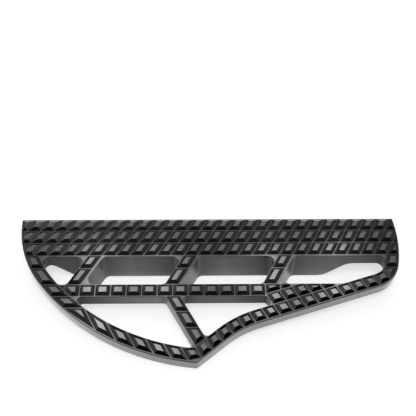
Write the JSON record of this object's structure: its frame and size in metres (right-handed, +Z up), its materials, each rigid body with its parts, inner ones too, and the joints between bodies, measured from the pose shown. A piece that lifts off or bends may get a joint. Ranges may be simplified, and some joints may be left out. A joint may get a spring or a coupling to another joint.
{
  "type": "motorcycle passenger floorboard",
  "caption": "Wing-shaped black aluminium passenger floorboard with open windows, a raised tread on top, and a hinge block with lug notches and pin bores along its straight rear edge.",
  "frame": {"origin": "mouth of the threaded hole in the middle of the rear face", "axes": "+X along the rear edge to the right, +Y out of the rear face, +Z up through the tread; the tip points along -Y"},
  "size_m": [0.2561, 0.1068, 0.0254],
  "materials": {
    "black_anodised": "satin black anodised"
  },
  "bodies": {
    "root": {"floorboard": "black_anodised"}
  },
  "joints": []
}
